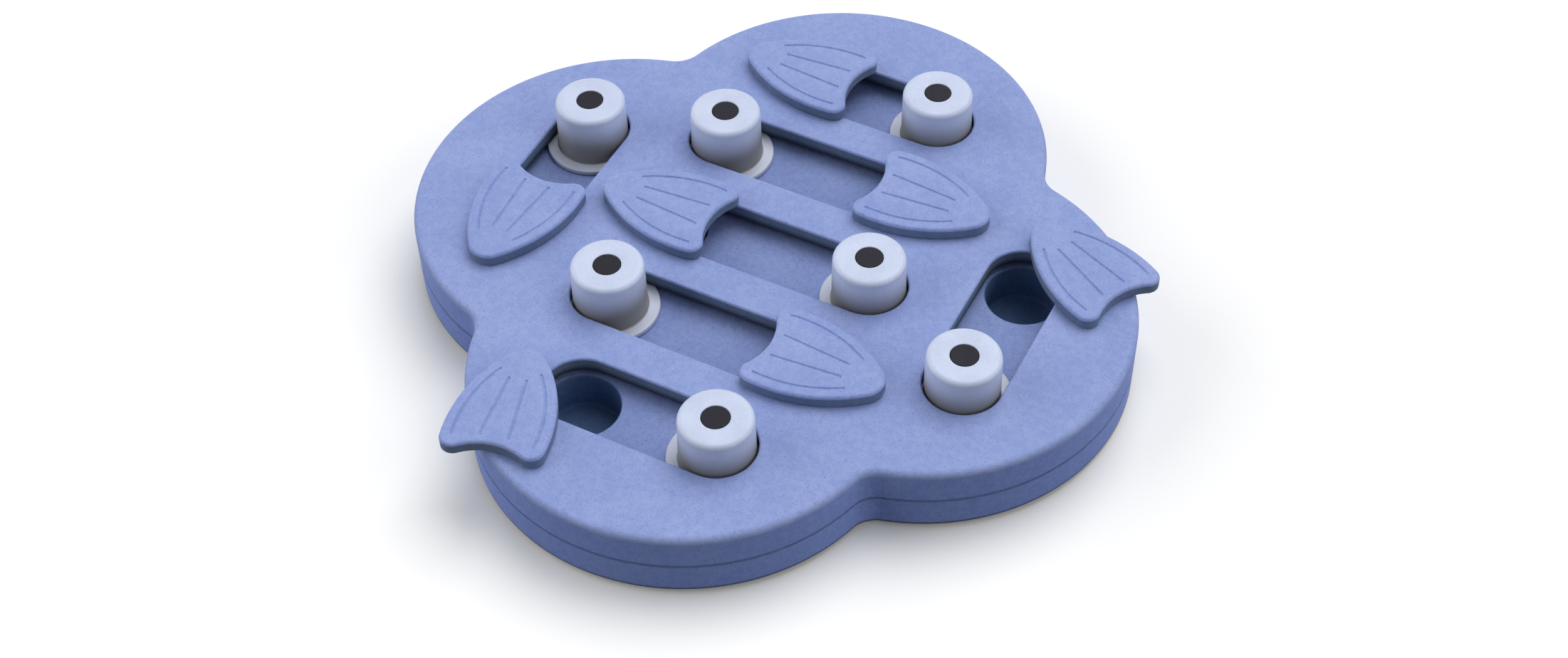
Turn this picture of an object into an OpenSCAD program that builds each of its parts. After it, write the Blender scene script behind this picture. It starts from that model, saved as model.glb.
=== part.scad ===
// Sliding and swivelling treat puzzle for dogs: a four-lobed board in two half
// shells with seven slotted tracks. Each track has a flanged knob that slides
// and a fish-tail flipper that swivels over the treat well at the other end.
// Millimetres, +Z up, the origin in the middle of the face that the feet rest on.

/* [Board] */
// Overall width of the board, across two opposite lobes
board_span = 326; // [324:1:330]
// Radius of each lobe, seen from above
lobe_r = 91.5; // [90:0.5:93]
// Radius of the hollow curve between two lobes
notch_r = 12.5; // [10:0.5:15]
// Height of the board from its bottom face to its top face
board_h = 32.5; // [32:0.5:34]
// Height of the lower half shell, from the bottom face to the parting line
split_h = 15.8; // [14.6:0.2:16.4]
// Thickness of the shells' walls
wall_t = 3; // [2.4:0.1:3.2]
// Radius of the rounded top edge
edge_r = 3; // [2:0.25:4]
// Radius of the rounded bottom edge
base_edge_r = 1.25; // [1:0.25:2.5]

/* [Tracks] */
// Width of each slot
slot_w = 33.5; // [33:0.25:34.5]
// Depth of the lip that surrounds each slot
lip_depth = 6.8; // [6:0.2:7.2]
// Depth of the track floor below the top face
floor_depth = 10.2; // [10.2:0.2:10.6]
// Distance between two neighbouring long tracks
row_pitch = 52.25; // [52:0.25:54]
// Distance from the middle of a long track to the centre of its end
long_reach = 48; // [47:0.5:48.5]
// The same distance on the two short tracks of the front and back lobes
short_reach = 31.5; // [31:0.25:32]
// Distance from the middle of the board to the two side tracks
side_x = 105.5; // [105:0.5:106]
// Distance from the middle of a side track to the centre of its end
side_reach = 31.75; // [31.5:0.25:32]
// Radius of the treat wells
well_r = 16; // [14:0.5:16.5]
// Radius of the rounding along the slots' top edges
slot_edge_r = 1; // [0.5:0.25:1.5]

/* [Sliders] */
// Diameter of the knob at its foot
knob_d = 31.2; // [30:0.2:31.4]
// Height of the knob's top above the board's top face
knob_rise = 16.8; // [14:0.2:18]
// Diameter of the captive flange
flange_d = 42; // [40:0.5:42]
// Thickness of the flange
flange_t = 2.4; // [1.6:0.2:2.6]
// Diameter of the dark plug in the knob's top
plug_d = 12; // [8:0.5:16]

/* [Flippers] */
// Distance from the end of a track to its flipper's pivot
pivot_reach = 25; // [24.5:0.25:26]
// Thickness of a flipper
flipper_t = 6; // [5.5:0.1:6.6]
// Half of a flipper's width where it is widest
flipper_half = 22.2; // [21.5:0.1:22.2]
// Distance from a flipper's pivot to where it is widest
flipper_widest = 38; // [37:0.5:39]
// Radius of a flipper's long curved sides
flipper_side_r = 64; // [62:1:66]
// Radius of a flipper's narrow nose
nose_r = 9.15; // [8.8:0.05:9.4]
// Radius of a flipper's two corners
corner_r = 5.5; // [5:0.1:6]
// Radius of the hollow curve across a flipper's wide end
fork_r = 26; // [24:1:28]
// Radius of the rounded upper edge of a flipper
flipper_edge_r = 1.5; // [1:0.25:2.5]
// Depth of the engraved grooves
groove_depth = 0.8; // [0.5:0.1:1.2]
// How far the flipper of the right side track is swung open
right_open = 63.1; // [55:0.1:70]
// How far the flipper of the front track is swung open
front_open = 76.6; // [70:0.1:85]

/* [Hidden] */
foot_h = 2;
top_z = foot_h + board_h;
parting_z = foot_h + split_h;
floor_z = top_z - floor_depth;
lobe_c = board_span / 2 - lobe_r;
fit = 0.3;
play = 0.1;
// Pins turn in their bores with this much room all round
running = 0.05;
// The notch curves stand this far proud of the lobes, so that no two surfaces touch tangentially
hair = 0.02;

slot_r = slot_w / 2;
lip_t = 2.6;
plate_t = 3;
deck_t = 2.4;
deck_inset = wall_t + fit;
bottom_t = 2.6;
well_bottom_z = foot_h + bottom_t;
well_floor_z = well_bottom_z + deck_t;
cup_r = well_r + 1.6;
cup_recess = 0.6;
cup_base_z = well_bottom_z - cup_recess;
cup_rim_z = floor_z - deck_t - running;
knob_top_z = top_z + knob_rise;
flange_z = floor_z + play;
seam_v = 0.7;

// Clamping screws between the two shells, and the posts that take them
screw_post_r = 5.5;
screw_boss_r = 4.5;
collar_r = 6.5;
screw_head_r = 3.3;
screw_head_h = 2;
screw_shank_r = 1.5;
screw_seat_z = 10;
screw_length = 15;

// Flipper pivots
pivot_pin_r = 4.05;
pivot_boss_r = 5.6;
washer_r = 5.3;
pivot_boss_z = top_z - 6;
thrust_r = 5.8;
washer_t = 1.2;
pivot_head_r = 3.2;
pivot_head_h = 1.9;
pivot_screw_length = 10;
pin_end_z = pivot_boss_z - play - running;
washer_z = pin_end_z - washer_t;
flipper_z = top_z + fit;

foot_r = 7;
foot_recess = 1;

// Each track: slider end, flipper end, angle of the flipper's wide end when
// closed, and how far the flipper stands open
TRACKS = [
    [[-side_x, side_reach], [-side_x, -side_reach], 90, 0],
    [[-long_reach, row_pitch], [long_reach, row_pitch], 180, 0],
    [[short_reach, 2 * row_pitch], [-short_reach, 2 * row_pitch], 0, 0],
    [[-long_reach, -row_pitch], [long_reach, -row_pitch], 180, 0],
    [[long_reach, 0], [-long_reach, 0], 0, 0],
    [[side_x, -side_reach], [side_x, side_reach], -90, right_open],
    [[short_reach, -2 * row_pitch], [-short_reach, -2 * row_pitch], 0, -front_open]
];
TRACK_NUMBERS = [1 : len(TRACKS)];
WELLS = [for (track = TRACKS, end = [0, 1]) track[end]];

function direction(a) = [cos(a), sin(a)];
function bearing(v) = atan2(v.y, v.x);
// Points on an arc from one bearing to another, without the last one
function arc(centre, r, from, to, steps) =
    [for (i = [0 : steps - 1]) centre + r * direction(from + (to - from) * i / steps)];
// Angles of a rounded edge, from the wall to the flat
function turns(steps) = [for (i = [0 : steps]) 90 * i / steps];
function pivot_of(k) = TRACKS[k - 1][1] - pivot_reach * direction(TRACKS[k - 1][2]);

// Screws near the rim stand in the notches and at the tips of the lobes
notch_screw = 78;
tip_screw = 142;
RIM_SCREWS = concat(
    [for (sx = [-1, 1], sy = [-1, 1]) notch_screw * [sx, sy]],
    [for (a = [0 : 90 : 270]) tip_screw * direction(a)]
);
INNER_SCREWS = [for (sy = [-1, 1]) [0, sy * row_pitch / 2]];
SCREWS = concat(RIM_SCREWS, INNER_SCREWS);

// Two feet under each lobe, on a ring about the lobe's centre
feet_ring_r = 76;
feet_angle = 42;
FEET = [
    for (a = [0 : 90 : 270], side = [-1, 1])
        lobe_c * direction(a) + feet_ring_r * direction(a + side * feet_angle)
];

$fn = 96;
board_blue = [0.56, 0.63, 0.83];
knob_grey = [0.8, 0.83, 0.92];
plug_black = [0.19, 0.19, 0.22];
steel = [0.7, 0.7, 0.72];

// ---- Board ----

// Centre of the hollow curve between two lobes, on the diagonal
notch_reach = lobe_r + notch_r;
notch_c = (lobe_c + sqrt(2 * notch_reach * notch_reach - lobe_c * lobe_c)) / 2;

// Side view of a wall: radius and height up the wall, with a rounded edge at
// each end. The radius shrinks at the edges for side 1 and grows for side -1
function wall_profile(r, side, low, high, low_edge, high_edge) = concat(
    [for (a = turns(low_edge[1]))
        [r - side * low_edge[0] * (1 - sin(a)), low + low_edge[0] * (1 - cos(a))]],
    [for (a = turns(high_edge[1]))
        [r - side * high_edge[0] * (1 - cos(a)), high - high_edge[0] * (1 - sin(a))]]
);

// The four-lobed board between two heights, drawn in by an inset. Each edge is
// given as its radius and its number of steps
module board(low, high, inset = 0, low_edge = [0, 1], high_edge = [0, 1]) {
    plain = low_edge[0] + high_edge[0] == 0;
    lobe = plain
        ? [[lobe_r - inset, low], [lobe_r - inset, high]]
        : wall_profile(lobe_r - inset, 1, low, high, low_edge, high_edge);
    hollow_r = notch_r + inset - hair;
    hollow = plain
        ? [[hollow_r, low], [hollow_r, high]]
        : wall_profile(hollow_r, -1, low, high, low_edge, high_edge);
    for (a = [0 : 90 : 270]) rotate([0, 0, a]) {
        translate([lobe_c, 0, 0]) rotate_extrude()
            polygon(concat([[0, low]], lobe, [[0, high]]));
        difference() {
            translate([0, 0, low]) linear_extrude(high - low)
                polygon([[0, 0], [lobe_c, 0], [notch_c, notch_c], [0, lobe_c]]);
            translate([notch_c, notch_c, 0]) rotate_extrude() polygon(concat(
                [[0, low - 1], [hollow[0].x, low - 1]],
                hollow,
                [[hollow[len(hollow) - 1].x, high + 1], [0, high + 1]]
            ));
        }
    }
}

// ---- Tracks ----

// Places its children at a track's slider end, with +X toward its flipper end
module along_track(k) {
    start = TRACKS[k - 1][0];
    translate([start.x, start.y, 0]) rotate([0, 0, bearing(TRACKS[k - 1][1] - start)]) children();
}

function track_length(k) = norm(TRACKS[k - 1][1] - TRACKS[k - 1][0]);

// A bar with round ends along a track, between two heights
module track_bar(k, r, low, high) {
    along_track(k) {
        for (x = [0, track_length(k)]) translate([x, 0, low]) cylinder(r = r, h = high - low);
        translate([0, -r, low]) cube([track_length(k), 2 * r, high - low]);
    }
}

// Half of a slot's section: a straight wall with a rounded mouth at the top face
slot_section = concat(
    [[0, top_z - lip_depth - 1], [slot_r, top_z - lip_depth - 1]],
    [for (a = turns(4)) [slot_r + slot_edge_r * (1 - cos(a)), top_z - slot_edge_r * (1 - sin(a))]],
    [[slot_r + slot_edge_r, top_z + 1], [0, top_z + 1]]
);

module slot_cutter(k) {
    along_track(k) {
        for (x = [0, track_length(k)]) translate([x, 0, 0]) rotate_extrude() polygon(slot_section);
        for (side = [0, 1]) mirror([0, side, 0]) rotate([90, 0, 90])
            linear_extrude(track_length(k)) polygon(slot_section);
    }
}

module at_points(points) {
    for (p = points) translate([p.x, p.y, 0]) children();
}

module at_pivot(k) {
    translate([pivot_of(k).x, pivot_of(k).y, 0]) children();
}

// ---- Shells, deck, screws and feet ----

module lower_shell() {
    color(board_blue) difference() {
        union() {
            difference() {
                board(foot_h, parting_z, 0, [base_edge_r, 3], [seam_v, 1]);
                board(well_bottom_z, parting_z + 1, wall_t);
            }
            at_points(SCREWS) translate([0, 0, foot_h + 1])
                cylinder(r = screw_post_r, h = parting_z - foot_h - 1);
        }
        at_points(SCREWS) {
            translate([0, 0, foot_h - 1]) cylinder(r = screw_head_r + fit, h = screw_seat_z - foot_h + 1);
            cylinder(r = screw_shank_r + fit, h = parting_z + 1);
        }
        at_points(FEET) translate([0, 0, foot_h - 1]) cylinder(r = foot_r + play, h = foot_recess + 1);
        at_points(WELLS) translate([0, 0, cup_base_z]) cylinder(r = cup_r + play, h = cup_recess + 1);
    }
}

// The board under the slots, open over the two treat cups of every track
module track_deck() {
    color(board_blue) difference() {
        board(floor_z - deck_t, floor_z, deck_inset);
        at_points(WELLS) cylinder(r = well_r, h = floor_z + 1);
        at_points(SCREWS) cylinder(r = screw_boss_r + fit, h = floor_z + 1);
    }
}

// The cups below the two ends of a track. They stand in shallow recesses of the
// lower shell, and the deck closes over their rims
module treat_cups(k) {
    color(board_blue) at_points([TRACKS[k - 1][0], TRACKS[k - 1][1]]) difference() {
        translate([0, 0, cup_base_z]) cylinder(r = cup_r, h = cup_rim_z - cup_base_z);
        translate([0, 0, well_floor_z]) cylinder(r = well_r, h = floor_z);
    }
}

module upper_shell() {
    ceiling_z = top_z - plate_t;
    color(board_blue) difference() {
        union() {
            difference() {
                board(parting_z, top_z, 0, [seam_v, 1], [edge_r, 6]);
                board(parting_z - 1, ceiling_z, wall_t);
            }
            for (k = TRACK_NUMBERS) {
                track_bar(k, slot_r + lip_t, top_z - lip_depth, top_z - slot_edge_r - 1);
                at_pivot(k) translate([0, 0, pivot_boss_z])
                    cylinder(r = pivot_boss_r, h = ceiling_z - pivot_boss_z + 1);
            }
            at_points(SCREWS) translate([0, 0, parting_z])
                cylinder(r = screw_boss_r, h = ceiling_z - parting_z + 1);
            at_points(RIM_SCREWS) translate([0, 0, floor_z])
                cylinder(r = collar_r, h = ceiling_z - floor_z + 1);
        }
        for (k = TRACK_NUMBERS) {
            slot_cutter(k);
            at_pivot(k) cylinder(r = pivot_pin_r + running, h = top_z + 1);
        }
        at_points(SCREWS) translate([0, 0, parting_z - 1])
            cylinder(r = screw_shank_r + running, h = screw_seat_z + screw_length - parting_z + 2);
    }
}

// A pan-head screw that stands on its head, with a cross recess below. The head
// is a flat top with two bevels, and the shank ends in a point with a small flat
module pan_head_screw(head_r, head_h, shank_r, shank_l) {
    flat_share = 0.7;
    bevel_share = 0.94;
    brim_share = 0.3;
    point_l = 1.5;
    point_r = 0.3;
    recess_depth = head_h * 0.6;
    recess_l = head_r * 1.1;
    recess_w = head_r * 0.22;
    color(steel) difference() {
        rotate_extrude() polygon([
            [0, -head_h], [head_r * flat_share, -head_h], [head_r * bevel_share, -head_h * flat_share],
            [head_r, -head_h * brim_share], [head_r, 0], [shank_r, 0], [shank_r, shank_l - point_l],
            [point_r, shank_l], [0, shank_l]
        ]);
        for (a = [0, 90]) rotate([0, 0, a])
            translate([-recess_l / 2, -recess_w / 2, -head_h - 1])
                cube([recess_l, recess_w, recess_depth + 1]);
    }
}

module shell_screws() {
    at_points(SCREWS) translate([0, 0, screw_seat_z])
        pan_head_screw(screw_head_r, screw_head_h, screw_shank_r, screw_length);
}

module rubber_feet() {
    foot_edge = 0.6;
    thickness = foot_h + foot_recess;
    color(plug_black) at_points(FEET) rotate_extrude() polygon([
        [0, 0], [foot_r - foot_edge, 0], [foot_r, foot_edge], [foot_r, thickness], [0, thickness]
    ]);
}

// ---- Sliders ----

knob_r = knob_d / 2;
knob_wall = 2.2;
knob_roof = 3;
plug_head_t = 1.5;
plug_stem_r = 4;

// A round knob, hollow from below, that stands on the flange and up through the slot
module slider(k) {
    knob_taper = 0.35;
    knob_top_r = knob_r - knob_taper;
    crown = 2.2;
    foot_fillet = 0.5;
    crown_edge = [
        for (a = turns(6)) [knob_top_r - crown * (1 - cos(a)), knob_top_z - crown * (1 - sin(a))]
    ];
    color(knob_grey) along_track(k) rotate_extrude() polygon(concat(
        [
            [knob_r - knob_wall, flange_z + flange_t], [knob_r + foot_fillet, flange_z + flange_t],
            [knob_r, flange_z + flange_t + foot_fillet]
        ],
        crown_edge,
        [
            [plug_d / 2, knob_top_z], [plug_d / 2, knob_top_z - plug_head_t],
            [plug_stem_r, knob_top_z - plug_head_t], [plug_stem_r, knob_top_z - knob_roof],
            [knob_top_r - knob_wall, knob_top_z - knob_roof]
        ]
    ));
}

// The ring below a knob, which runs under the lips of its slot
module slider_flange(k) {
    color(knob_grey) along_track(k) translate([0, 0, flange_z]) difference() {
        cylinder(d = flange_d, h = flange_t);
        translate([0, 0, -1]) cylinder(r = knob_r - knob_wall, h = flange_t + 2);
    }
}

// The dark plug in the knob's top: a head on the shoulder, a stem through the
// roof and a bead that snaps in under it
module slider_plug(k) {
    head_z = knob_top_z - plug_head_t;
    roof_z = knob_top_z - knob_roof;
    stem_r = plug_stem_r - running;
    head_r = plug_d / 2 - running;
    bead_r = plug_stem_r + 0.7;
    bead_h = 1.5;
    lead_in = 0.8;
    bevel = 0.3;
    color(plug_black) along_track(k) rotate_extrude() polygon([
        [0, roof_z - play - bead_h], [plug_stem_r - lead_in, roof_z - play - bead_h],
        [bead_r, roof_z - play - bead_h / 3], [bead_r, roof_z - play], [stem_r, roof_z - play],
        [stem_r, head_z], [head_r, head_z], [head_r, knob_top_z - play - bevel],
        [head_r - bevel, knob_top_z - play], [0, knob_top_z - play]
    ]);
}

// ---- Flippers ----

// Centres of the arcs of a flipper's outline, from the pivot at [0, 0] with +X
// toward the wide end. Every arc runs on from the one before it
side_c = flipper_side_r - flipper_half;
nose_x = flipper_widest - sqrt(pow(flipper_side_r - nose_r, 2) - side_c * side_c);
corner_x = flipper_widest + 6.1;
corner_y = sqrt(pow(flipper_side_r - corner_r, 2) - pow(corner_x - flipper_widest, 2)) - side_c;
fork_x = corner_x + sqrt(pow(fork_r + corner_r, 2) - corner_y * corner_y);
nose_turn = bearing([nose_x - flipper_widest, side_c]);
corner_turn = bearing([corner_x - flipper_widest, corner_y + side_c]);
fork_turn = bearing([fork_x - corner_x, corner_y]);

// The outline of a flipper, drawn in by an inset
function flipper_ring(inset) = concat(
    arc([flipper_widest, side_c], flipper_side_r - inset, -nose_turn, -corner_turn, 12),
    arc([corner_x, -corner_y], corner_r - inset, -corner_turn, fork_turn, 8),
    arc([fork_x, 0], fork_r + inset, 180 + fork_turn, 180 - fork_turn, 10),
    arc([corner_x, corner_y], corner_r - inset, -fork_turn, corner_turn, 8),
    arc([flipper_widest, -side_c], flipper_side_r - inset, corner_turn, nose_turn, 12),
    arc([nose_x, 0], nose_r - inset, nose_turn, 360 - nose_turn, 14)
);

// A closed solid through flipper outlines, each level an inset and a height
module flipper_loft(levels) {
    n = len(flipper_ring(0));
    last = len(levels) - 1;
    points = [for (level = levels, p = flipper_ring(level[0])) [p.x, p.y, level[1]]];
    walls = [
        for (j = [0 : last - 1], i = [0 : n - 1], half = [0, 1])
            let (a = j * n + i, b = j * n + (i + 1) % n)
                half == 0 ? [a, a + n, b + n] : [a, b + n, b]
    ];
    polyhedron(points, concat(
        [[for (i = [0 : n - 1]) i]],
        walls,
        [[for (i = [n - 1 : -1 : 0]) last * n + i]]
    ));
}

// Four engraved lines that spread toward the wide end: two nearly straight ones
// and two that follow the sides
module flipper_grooves(high) {
    width = 1.3;
    end_r = width / 2 - 0.05;
    side_groove_r = flipper_side_r - 4.8;
    inner_from = [11.1, 3.7];
    inner_to = [41.1, 6];
    outer_turns = [83.5, 121.5];
    span = inner_to - inner_from;
    for (side = [0, 1]) mirror([0, side, 0]) translate([0, 0, high - groove_depth]) {
        translate([inner_from.x, inner_from.y, 0]) rotate([0, 0, bearing(span)]) {
            translate([0, -width / 2, 0]) cube([norm(span), width, groove_depth + 1]);
            for (x = [0, norm(span)]) translate([x, 0, 0]) cylinder(r = end_r, h = groove_depth + 1);
        }
        translate([flipper_widest, -side_c, 0]) {
            rotate([0, 0, outer_turns[0]]) rotate_extrude(angle = outer_turns[1] - outer_turns[0])
                translate([side_groove_r - width / 2, 0]) square([width, groove_depth + 1]);
            for (a = outer_turns) rotate([0, 0, a]) translate([side_groove_r, 0, 0])
                cylinder(r = end_r, h = groove_depth + 1);
        }
    }
}

// Drawn closed or open, as it stands on the board, with its pivot pin below
module flipper(k) {
    low_edge = 0.6;
    high = flipper_z + flipper_t;
    top_edge = [
        for (a = turns(4)) [flipper_edge_r * (1 - cos(a)), high - flipper_edge_r * (1 - sin(a))]
    ];
    color(board_blue) at_pivot(k) rotate([0, 0, TRACKS[k - 1][2] + TRACKS[k - 1][3]]) difference() {
        union() {
            flipper_loft(concat([[low_edge, flipper_z], [0, flipper_z + low_edge]], top_edge));
            translate([0, 0, top_z + play]) cylinder(r = thrust_r, h = 1);
            translate([0, 0, pin_end_z]) cylinder(r = pivot_pin_r, h = flipper_z + 1 - pin_end_z);
        }
        flipper_grooves(high);
        translate([0, 0, pin_end_z - 1]) cylinder(r = screw_shank_r + running, h = pivot_screw_length + 1);
    }
}

// A washer under the plate holds the flipper's pin up in its bore
module pivot_washer(k) {
    color(steel) at_pivot(k) difference() {
        translate([0, 0, washer_z]) cylinder(r = washer_r, h = washer_t);
        translate([0, 0, washer_z - 1]) cylinder(r = screw_shank_r + play, h = washer_t + 2);
    }
}

module pivot_screw(k) {
    at_pivot(k) translate([0, 0, washer_z])
        pan_head_screw(pivot_head_r, pivot_head_h, screw_shank_r, pivot_screw_length);
}

lower_shell();
track_deck();
upper_shell();
shell_screws();
rubber_feet();
for (k = TRACK_NUMBERS) {
    treat_cups(k);
    slider(k);
    slider_flange(k);
    slider_plug(k);
    flipper(k);
    pivot_washer(k);
    pivot_screw(k);
}
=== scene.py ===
"""Sliding and swivelling treat puzzle for dogs: the dressed model, its studio and its camera."""

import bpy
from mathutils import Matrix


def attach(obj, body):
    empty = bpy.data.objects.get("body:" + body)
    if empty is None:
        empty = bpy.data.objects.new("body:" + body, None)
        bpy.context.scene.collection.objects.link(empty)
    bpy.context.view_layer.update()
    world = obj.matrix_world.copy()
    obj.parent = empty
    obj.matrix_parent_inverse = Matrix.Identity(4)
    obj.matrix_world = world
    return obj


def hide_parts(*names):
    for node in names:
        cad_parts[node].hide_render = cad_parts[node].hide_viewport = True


bl_info = {
    "name": "Treat puzzle board",
    "version": (1, 0, 0),
    "blender": (4, 5, 0),
    "location": "3D View > Sidebar > Treat puzzle",
    "description": "Builds a four-lobed treat puzzle with sliding knobs and swivelling flippers",
    "category": "Add Mesh",
}

import math

import bmesh
import bpy
import numpy as np
from bpy.props import FloatProperty, FloatVectorProperty, PointerProperty
from bpy.types import Operator, Panel, PropertyGroup
from mathutils import Matrix, Vector
from mathutils.geometry import delaunay_2d_cdt

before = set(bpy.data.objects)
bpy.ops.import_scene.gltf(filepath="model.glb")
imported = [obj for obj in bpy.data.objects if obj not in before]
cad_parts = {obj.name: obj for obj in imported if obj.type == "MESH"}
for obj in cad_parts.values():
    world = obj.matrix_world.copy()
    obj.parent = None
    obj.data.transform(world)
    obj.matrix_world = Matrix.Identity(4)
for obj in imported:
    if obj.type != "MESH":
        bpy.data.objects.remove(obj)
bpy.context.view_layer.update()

MM = 0.001
WELD = 2e-6
NEAR_ZERO = 1e-7

# ---- The board's fixed layout, in millimetres and degrees ----

FOOT_H = 2.0
TOP_Z = 34.5
PARTING_Z = 17.8
CEILING_Z = 31.5
LIP_Z = 27.7
DECK_TOP_Z = 24.3
DECK_LOW_Z = 21.9
SHELL_FLOOR_Z = 4.6
CUP_FLOOR_Z = 7.0
CUP_BASE_Z = 4.0
KNOB_TOP_Z = 51.3
FLANGE_Z = 24.4
FLIPPER_Z = 34.8
WALL = 3.0
DECK_INSET = 3.3
LOBE_R = 91.5
LOBE_C = 71.5
HOLLOW_R = 12.5
SLOT_R = 16.75
LIP_R = 19.35
WELL_R = 16.0
CUP_R = 17.6
CUP_GAP = 0.1
PIVOT_REACH = 25.0
PIVOT_PIN_R = 4.05
PIVOT_BORE_R = 4.1
PIVOT_BOSS_R = 5.6
PIVOT_BOSS_Z = 28.5
FOOT_R = 7.0
FOOT_GAP = 0.1
FOOT_TOP_Z = FOOT_H + 1.0
FOOT_REACH = 76.0
FOOT_SPREAD = 42.0
SCREW_BORE_R = 1.55
SCREW_BORE_TOP_Z = 26.0
SCREW_SHANK_HOLE_R = 1.8
SCREW_HEAD_HOLE_R = 3.6
SCREW_SEAT_Z = 10.0
RIM_SCREW_CORNER = 78.0
RIM_SCREW_REACH = 142.0
INNER_SCREW_Y = 26.125
POST_R = 5.5
BOSS_R = 4.5
COLLAR_R = 6.5

# A narrow row of faces beside a rounded edge, so that the flat or wall next to it looks flat
GUARD = 0.12

# How many points go round a bore or boss, a well, plug or foot, and a knob
BORE_ROUND, WELL_ROUND, KNOB_ROUND = 48, 64, 96

# The bearings of the board's four lobes
QUARTERS = (0, 90, 180, 270)

# Slider end, flipper end, bearing of the closed flipper's wide end, and how far it stands open
TRACKS = (
    ((-105.5, 31.75), (-105.5, -31.75), 90.0, 0.0),
    ((-48.0, 52.25), (48.0, 52.25), 180.0, 0.0),
    ((31.5, 104.5), (-31.5, 104.5), 0.0, 0.0),
    ((-48.0, -52.25), (48.0, -52.25), 180.0, 0.0),
    ((48.0, 0.0), (-48.0, 0.0), 0.0, 0.0),
    ((105.5, -31.75), (105.5, 31.75), -90.0, 63.1),
    ((31.5, -104.5), (-31.5, -104.5), 0.0, -76.6),
)


def bearing_vector(degrees):
    """The unit vector at a bearing: (cos, sin)."""
    return np.array((math.cos(math.radians(degrees)), math.sin(math.radians(degrees))))


WELLS = tuple(end for track in TRACKS for end in track[:2])
PIVOTS = tuple(np.array(t[1]) - PIVOT_REACH * bearing_vector(t[2]) for t in TRACKS)
RIM_SCREWS = tuple(
    (RIM_SCREW_CORNER * x, RIM_SCREW_CORNER * y) for x in (-1, 1) for y in (-1, 1)
) + tuple(tuple(RIM_SCREW_REACH * bearing_vector(a)) for a in QUARTERS)
SCREWS = RIM_SCREWS + ((0.0, -INNER_SCREW_Y), (0.0, INNER_SCREW_Y))
FEET = tuple(
    tuple(LOBE_C * bearing_vector(a) + FOOT_REACH * bearing_vector(a + side * FOOT_SPREAD))
    for a in QUARTERS
    for side in (-1, 1)
)


# ---- Settings ----


class BoardSettings(PropertyGroup):
    """Edges, colours and painted shade of the board, its deck and its flippers"""

    rim_round: FloatProperty(
        name="Rim rounding", description="Radius of the rounded top rim",
        default=0.003, min=0.001, max=0.004, subtype="DISTANCE",
    )
    base_round: FloatProperty(
        name="Base rounding", description="Radius of the rounded bottom edge",
        default=0.0016, min=0.0005, max=0.0025, subtype="DISTANCE",
    )
    mouth_round: FloatProperty(
        name="Slot rounding", description="Radius along the slots' top edges",
        default=0.001, min=0.0002, max=0.0015, subtype="DISTANCE",
    )
    seam: FloatProperty(
        name="Seam bevel", description="Bevel of each shell at the parting line",
        default=0.0008, min=0.0002, max=0.001, subtype="DISTANCE",
    )
    colour: FloatVectorProperty(
        name="Board colour", description="Main colour of the moulded composite",
        default=(0.250, 0.325, 0.640), size=3, min=0.0, max=1.0, subtype="COLOR",
    )
    fleck: FloatVectorProperty(
        name="Fleck colour", description="Darker flecks in the composite",
        default=(0.155, 0.215, 0.475), size=3, min=0.0, max=1.0, subtype="COLOR",
    )
    haze: FloatVectorProperty(
        name="Haze colour", description="Paler haze on the moulded skin",
        default=(0.325, 0.400, 0.705), size=3, min=0.0, max=1.0, subtype="COLOR",
    )
    # Painted shade: darkens the board's colours on the slot walls, under the lips and on the
    # shell's inside
    recess_shade: FloatVectorProperty(
        name="Recess shade tint", description="Multiplies the board's colours inside the slots",
        default=(0.52, 0.56, 0.44), size=3, min=0.0, max=1.0, subtype="COLOR",
    )
    # Painted shade: the board's colours on its side wall, less red and green and more blue
    side: FloatVectorProperty(
        name="Side shade tint", description="Multiplies the board's colours on its side wall",
        default=(0.87, 0.95, 1.12), size=3, min=0.0, max=2.0, subtype="COLOR",
    )
    # Painted shade: darkens the board's colours in the gap of the parting line
    seam_shade_tint: FloatVectorProperty(
        name="Seam shade tint", description="Multiplies the board's colours in the parting line",
        default=(0.46, 0.52, 0.56), size=3, min=0.0, max=1.0, subtype="COLOR",
    )
    # Painted shade: darkens the board's colours inside the deep treat wells
    well: FloatVectorProperty(
        name="Well shade tint", description="Multiplies the board's colours inside the treat wells",
        default=(0.32, 0.44, 0.46), size=3, min=0.0, max=1.0, subtype="COLOR",
    )
    # Painted shade: darkens the board's colours on the deck, down inside the slots
    deck: FloatVectorProperty(
        name="Deck shade tint", description="Multiplies the board's colours on the deck",
        default=(0.80, 0.83, 0.87), size=3, min=0.0, max=1.0, subtype="COLOR",
    )


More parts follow.
